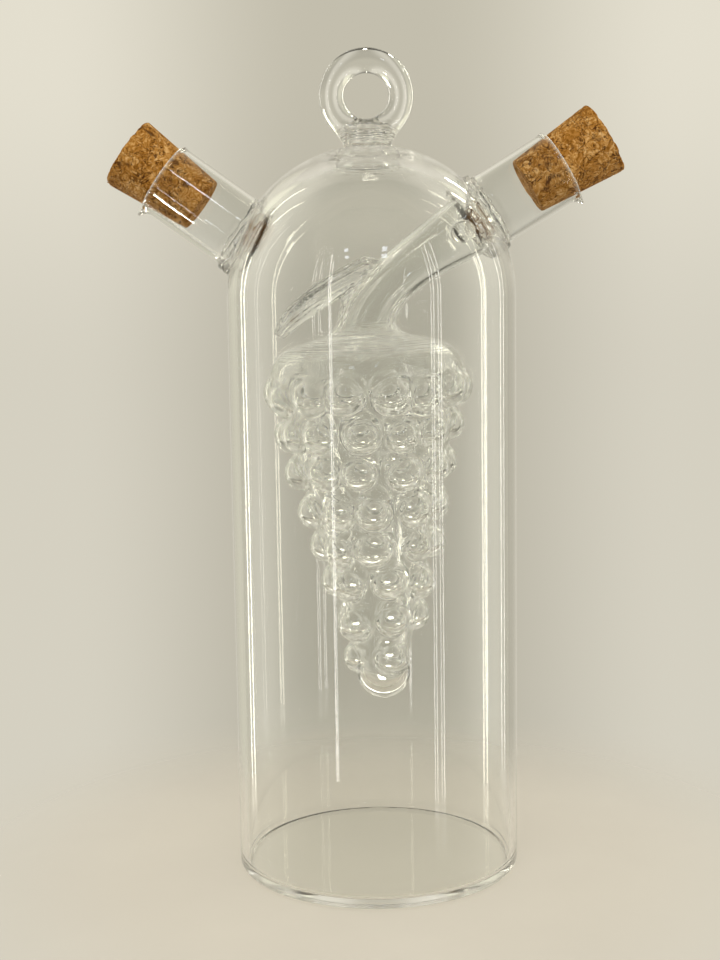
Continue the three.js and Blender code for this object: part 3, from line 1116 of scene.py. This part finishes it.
def vessel_field(x, y, z):
    tube, bore, (along, _, _) = vinegar_tube(x, y, z)
    bunch, bunch_hollow = bunch_fields(x, y, z)
    outside = fillet(tube, bunch, mouth_fillet)
    outside = fillet(outside, vine_stub(x, y, z), stub_fillet)
    hollow = fillet(bore, bunch_hollow, mouth_hollow_fillet)
    whole = np.maximum(outside, -hollow)
    return np.maximum(whole, along + parting - overlap)


def trim_neck(field, points, quads, outwards):
    """The mesh on one side of the parting plane: outwards of it for the bottle, inwards for the grapes."""
    past = -((points - vinegar.root) @ vinegar.axis + parting) * outwards
    on_neck = (vessel_tube.field(*points.T) < on_glass) & (past < 2 * overlap)
    lost = on_neck & (past > 0)
    quads = quads[~lost[quads].all(axis=1)]
    edge = np.unique(quads[lost[quads]])
    points[edge] += np.outer(past[edge] * outwards, vinegar.axis)
    for _ in range(edge_rounds):
        value, slope = sense(field, points[edge])
        slope -= np.outer(slope @ vinegar.axis, vinegar.axis)
        points[edge] -= slope * (value / (slope**2).sum(axis=1))[:, None]
    used, quads = np.unique(quads, return_inverse=True)
    return points[used], quads.reshape(-1, 4)


def trim_bottle(field, points, quads):
    return trim_neck(field, points, quads, 1)


def trim_vessel(field, points, quads):
    return trim_neck(field, points, quads, -1)


# %% [markdown]
# Each piece also says where the flame has worked it. On the bottle that is round the welds and the foot.
# On the vessel the berries are a little uneven, the top of the bunch has rings, the stub has lines
# along it, and the crinkles of the weld run on down the neck. Where two places meet, the one that was
# worked more gives the direction.

# %% Where the glass was worked
berry_unevenness = 0.02
berry_grain = 1.4 * mm
top_unevenness = 0.7
top_reach = 4 * mm
stub_unevenness = 1.2
stub_reach = 1.3 * max(stub_radii)
stub_lines = 3
stub_stretch = 4


def strongest(*places):
    amount, flow = places[0]
    for other, direction in places[1:]:
        flow = np.where(other > amount, direction, flow)
        amount = np.maximum(amount, other)
    return amount, flow


def bottle_working(x, y, z):
    worked = strongest(round_weld(oil, x, y, z), round_weld(vinegar, x, y, z), round_foot(x, y, z))
    return *worked, np.maximum(at_rim(oil, x, y, z), at_rim(vinegar, x, y, z))


def vessel_working(x, y, z):
    across, depth = in_bunch(x, z)
    distance, turn = np.hypot(across, y), np.arctan2(y, across)
    berry = berry_unevenness * (depth > 0), np.array([x, y, z]) / berry_grain
    top = top_unevenness * bell(depth, top_reach), crinkles(distance, depth, turn, 1.0)
    stub_off, stub_turn, stub_place = stub_sweep.around(x, y, z)
    round_stub = stub_lines * np.cos(stub_turn), stub_lines * np.sin(stub_turn)
    stub = stub_unevenness * (stub_off < stub_reach), np.array([*round_stub, stub_stretch * stub_place])
    return *strongest(berry, top, stub, round_weld(vinegar, x, y, z)), np.zeros(len(x))


# %% [markdown]
# The straight wall of the bottle needs few grid lines along Z, and the dome, the welds and the ring
# need many. The grapes need an even, fine grid all over.

# %% Make the glass
fine = 1.0 * mm
finer = 0.66 * mm
finest = 0.38 * mm
coarse = 4.0 * mm
at_heel = 0.5 * mm
bottle_lines = (
    spaced(
        (-58 * mm, finest), (-42 * mm, finer), (-23 * mm, fine),
        (10 * mm, finer), (43 * mm, finest), (58 * mm, fine),
    ),
    spaced((-37 * mm, fine), (-11 * mm, finer), (11 * mm, fine), (37 * mm, fine)),
    spaced(
        (-1.5 * mm, at_heel), (5 * mm, coarse), (137 * mm, fine),
        (149 * mm, finer), (186 * mm, fine), (203 * mm, fine),
    ),
)
bottle = blown("bottle_glass", bottle_field, bottle_lines, bottle_working, trim_bottle)
bottle.data.materials.append(glass)
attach(bottle, "bottle")
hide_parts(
    "bottle_base", "bottle_wall", "bottle_shoulder",
    "oil_spout", "oil_spout_weld",
    "vinegar_spout", "vinegar_spout_weld",
    "ring_handle", "handle_foot",
)

even = 0.7 * mm
vessel_lines = (
    spaced((-30 * mm, even), (31 * mm, even)),
    spaced((-29 * mm, even), (29 * mm, even)),
    spaced((38 * mm, even), (169 * mm, even)),
)
vessel = blown("grape_vessel_glass", vessel_field, vessel_lines, vessel_working, trim_vessel)
vessel.data.materials.append(glass)
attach(vessel, "bottle")
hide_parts("vinegar_neck", "grape_vessel", "vine_stub")

# %% [markdown]
# ## Pressed cork
#
# The stoppers are agglomerated cork: shreds of bark, pressed with a binder and turned to a taper. Voronoi
# cells are a good likeness of packed granules. Each gets a shade of brown from its own random colour,
# and the same random colour turns a streaky noise inside it, so every shred has its own grain.
#
# What the eye sees first, though, are short dark curls where shreds meet. A level line of a noise is
# such a curl, so the dark lines are where two noises pass through their middle value, and a patchy mask
# breaks them up. The same lines will later sink into the mesh.

# %% Cork material
granule_scale = 420.0
shred_scale = 300.0
shred_reach = 4.4 * mm
grain_scale = 1700.0
grain_stretch = (1.0, 0.22, 1.0)
curl_scales = (340.0, 600.0)
curl_width = 0.021
curl_core = 0.3
curl_bend = 0.8
curl_patch = 0.55
patch_range = (0.36, 0.50)
crumb_scale = 270.0
fleck_range = (0.62, 0.70)
shade_share, fibre_share, tone_base = 0.34, 1.7, 0.38
crack_share, fleck_share = 0.88, 0.75
cork_roughness, shade_polish = 0.95, 0.15
cork_shine = 0.10
fibre_relief = 0.6
cork_bump, bump_strength = 0.2 * mm, 0.6
cork_stops = [
    (0.00, (0.100, 0.033, 0.003, 1.0)),
    (0.25, (0.220, 0.085, 0.009, 1.0)),
    (0.50, (0.355, 0.158, 0.028, 1.0)),
    (0.75, (0.480, 0.250, 0.068, 1.0)),
    (1.00, (0.630, 0.385, 0.150, 1.0)),
]
crack_colour = (0.055, 0.016, 0.003, 1.0)


def warped(start, place):
    """Coordinates that wander a little, so that the granules are shredded."""
    wander = start.noise(place, shred_scale, 2.0, "Color")
    centred = start.vector("SUBTRACT", wander, (0.5, 0.5, 0.5))
    return start.vector("ADD", place, start.scaled(centred, shred_reach))


def curls(start, place):
    """1 on the short dark curls between shreds of cork."""
    total = 0.0
    for scale in curl_scales:
        inputs = {"Vector": place, "Scale": scale, "Detail": 2.0, "Distortion": curl_bend}
        level = start.node("ShaderNodeTexNoise", inputs) - 0.5
        patch = start.noise(place, scale * curl_patch, 0.0)
        line = 1 - start.math("ABSOLUTE", level).ease(curl_core * curl_width, curl_width)
        total = line * patch.ease(*patch_range) + total
    return start.math("MINIMUM", total, 1.0)


def crumbs(start, place):
    return start.noise(place, crumb_scale, 3.0)


def pressed_cork():
    material, start = new_material("pressed_cork")
    place = start.node("ShaderNodeTexCoord", output="Object")
    shreds = warped(start, place)
    cell = start.node("ShaderNodeTexVoronoi", {"Vector": shreds, "Scale": granule_scale}, output="Color")
    shade = start.node("ShaderNodeSeparateColor", {"Color": cell}, output="Red")
    within = start.vector("SUBTRACT", shreds, cell.beside("Position"))
    turning = {"Vector": within, "Rotation": start.scaled(cell, 2 * math.pi)}
    turned = start.node("ShaderNodeVectorRotate", turning, {"rotation_type": "EULER_XYZ"})
    streaks = start.node("ShaderNodeMapping", {"Vector": turned, "Scale": grain_stretch})
    fibre = start.noise(streaks, grain_scale, 2.0)
    tone = shade * shade_share + (fibre - 0.5) * fibre_share + tone_base
    colour = start.node("ShaderNodeValToRGB", {"Fac": tone}, {"stops": cork_stops})
    crack = curls(start, place)
    fleck = crumbs(start, place).ease(*fleck_range)
    dark = start.math("MAXIMUM", crack * crack_share, fleck * fleck_share)
    colour = start.mix(dark, colour, crack_colour)
    bump = {"Height": fibre * fibre_relief - crack, "Strength": bump_strength, "Distance": cork_bump}
    show(start, start.node("ShaderNodeBsdfPrincipled", {
        "Base Color": colour,
        "Roughness": cork_roughness - shade * shade_polish,
        "Specular IOR Level": cork_shine,
        "Normal": start.node("ShaderNodeBump", bump),
    }))
    return material


cork_finish = pressed_cork()
print("cork nodes:", len(cork_finish.node_tree.nodes))

# %% [markdown]
# The cork's body is a taper, turned as rings of points round the spout's axis. A Geometry Nodes tree
# then works over it: it sinks the curls into the surface, picks crumbs out of it and breaks more of them
# out along the outer rim, which the turned mesh marks with an attribute. The depths are named inputs, so
# both corks share one tree.

# %% The tree that pits a cork
chip_scale = 420.0
chip_range = (0.46, 0.70)
crumb_range = (0.60, 0.72)


def pitting_tree():
    tree = bpy.data.node_groups.new("pitted_cork", "GeometryNodeTree")
    tree.interface.new_socket("Geometry", in_out="INPUT", socket_type="NodeSocketGeometry")
    named = {}
    for label in ("Curl Depth", "Crumb Depth", "Rim Depth"):
        named[label] = tree.interface.new_socket(label, in_out="INPUT", socket_type="NodeSocketFloat")
    named["Finish"] = tree.interface.new_socket("Finish", in_out="INPUT", socket_type="NodeSocketMaterial")
    tree.interface.new_socket("Geometry", in_out="OUTPUT", socket_type="NodeSocketGeometry")
    start = Wire(tree)
    given = start.node("NodeGroupInput")
    place = start.node("GeometryNodeInputPosition")
    chips = start.noise(place, chip_scale, 2.0)
    rim = start.node("GeometryNodeInputNamedAttribute", {"Name": "rim"}, {"data_type": "FLOAT"})
    sink = curls(start, place) * given.beside("Curl Depth")
    sink = crumbs(start, place).ease(*crumb_range) * given.beside("Crumb Depth") + sink
    sink = chips.ease(*chip_range) * rim * given.beside("Rim Depth") + sink
    inwards = start.scaled(start.node("GeometryNodeInputNormal"), 0 - sink)
    moved = {"Geometry": given.beside("Geometry"), "Offset": inwards}
    shape = start.node("GeometryNodeSetPosition", moved)
    shape = start.node("GeometryNodeRealizeInstances", {"Geometry": shape})
    covered = {"Geometry": shape, "Material": given.beside("Finish")}
    shape = start.node("GeometryNodeSetMaterial", covered)
    start.node("NodeGroupOutput", {"Geometry": shape})
    return tree, {label: socket.identifier for label, socket in named.items()}


cork_tree, cork_inputs = pitting_tree()

# %% Turn the corks and pit them
cork_inner_radius = {"oil": 6.7 * mm, "vinegar": 6.95 * mm}
cork_rim = 0.4 * mm
rim_width = 0.9 * mm
cork_depths = {"Curl Depth": 0.14 * mm, "Crumb Depth": 0.35 * mm, "Rim Depth": 0.7 * mm}
cork_sides = 220
cork_step = 0.24 * mm
rim_steps = 4


def cork_profile(spout, inner_radius):
    """Radius and place along the axis, from the middle of the inner end to that of the outer end."""
    low, high, wide = spout.cork_from, spout.cork_to, spout.cork_radius
    arc = np.linspace(0, math.pi / 2, rim_steps)
    rim_in = [
        (inner_radius - cork_rim + cork_rim * math.sin(a), low + cork_rim - cork_rim * math.cos(a))
        for a in arc
    ]
    rim_out = [
        (wide - cork_rim + cork_rim * math.cos(a), high - cork_rim + cork_rim * math.sin(a))
        for a in arc
    ]
    outline = [(0.0, low), *rim_in, *rim_out, (0.0, high)]
    profile = [outline[0]]
    for (r0, s0), (r1, s1) in zip(outline, outline[1:]):
        steps = max(1, round(math.hypot(r1 - r0, s1 - s0) / cork_step))
        profile.extend((r0 + (r1 - r0) * (i + 1) / steps, s0 + (s1 - s0) * (i + 1) / steps)
                       for i in range(steps))
    return profile


def turned_cork(name, spout, inner_radius):
    profile = cork_profile(spout, inner_radius)
    side = np.array([0.0, 1.0, 0.0])
    points = [spout.root + spout.axis * profile[0][1]]
    for radius, along in profile[1:-1]:
        middle = spout.root + spout.axis * along
        for i in range(cork_sides):
            turn = 2 * math.pi * i / cork_sides
            points.append(middle + radius * (spout.down * math.cos(turn) + side * math.sin(turn)))
    points.append(spout.root + spout.axis * profile[-1][1])
    rings = len(profile) - 2
    last = len(points) - 1
    faces = []
    for i in range(cork_sides):
        j = (i + 1) % cork_sides
        faces.append((0, 1 + j, 1 + i))
        for ring in range(rings - 1):
            a, b = 1 + ring * cork_sides, 1 + (ring + 1) * cork_sides
            faces.append((a + i, a + j, b + j, b + i))
        end = 1 + (rings - 1) * cork_sides
        faces.append((last, end + i, end + j))
    mesh = bpy.data.meshes.new(name)
    mesh.from_pydata([tuple(p) for p in points], [], faces)
    if sum(p.area * p.normal.dot(p.center - Vector(points[0])) for p in mesh.polygons) < 0:
        mesh.flip_normals()
    along = (np.array(points) - spout.root) @ spout.axis
    distance = np.linalg.norm(np.array(points) - spout.root - np.outer(along, spout.axis), axis=1)
    from_rim = np.hypot(along - spout.cork_to, distance - spout.cork_radius)
    mark = mesh.attributes.new("rim", "FLOAT", "POINT")
    mark.data.foreach_set("value", bell(from_rim, rim_width))
    made = bpy.data.objects.new(name, mesh)
    bpy.context.scene.collection.objects.link(made)
    return made


def pitted(made):
    modifier = made.modifiers.new("pits", "NODES")
    modifier.node_group = cork_tree
    for label, depth in cork_depths.items():
        modifier[cork_inputs[label]] = depth
    modifier[cork_inputs["Finish"]] = cork_finish
    evaluated = made.evaluated_get(bpy.context.evaluated_depsgraph_get())
    mesh = bpy.data.meshes.new_from_object(evaluated)
    made.modifiers.remove(modifier)
    made.data = mesh
    mesh.polygons.foreach_set("use_smooth", np.ones(len(mesh.polygons), dtype=bool))
    return made


for name, spout in (("oil", oil), ("vinegar", vinegar)):
    stopper = pitted(turned_cork(f"{name}_stopper", spout, cork_inner_radius[name]))
    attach(stopper, f"{name}_cork")
    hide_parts(f"{name}_cork")
    print(stopper.name, len(stopper.data.polygons), "faces")

# %% [markdown]
# ## Sizes
#
# The dressed cruet has to stay the size of the model, so the sizes of both boxes are printed.

# %% Print the sizes of both boxes
shown_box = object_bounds()
boxes = {
    "cad": [list(corner) for corner in cad_box],
    "visual": [list(corner) for corner in shown_box],
}
for name, (low, high) in boxes.items():
    print(name, [round((b - a) / mm, 2) for a, b in zip(low, high)], "mm")
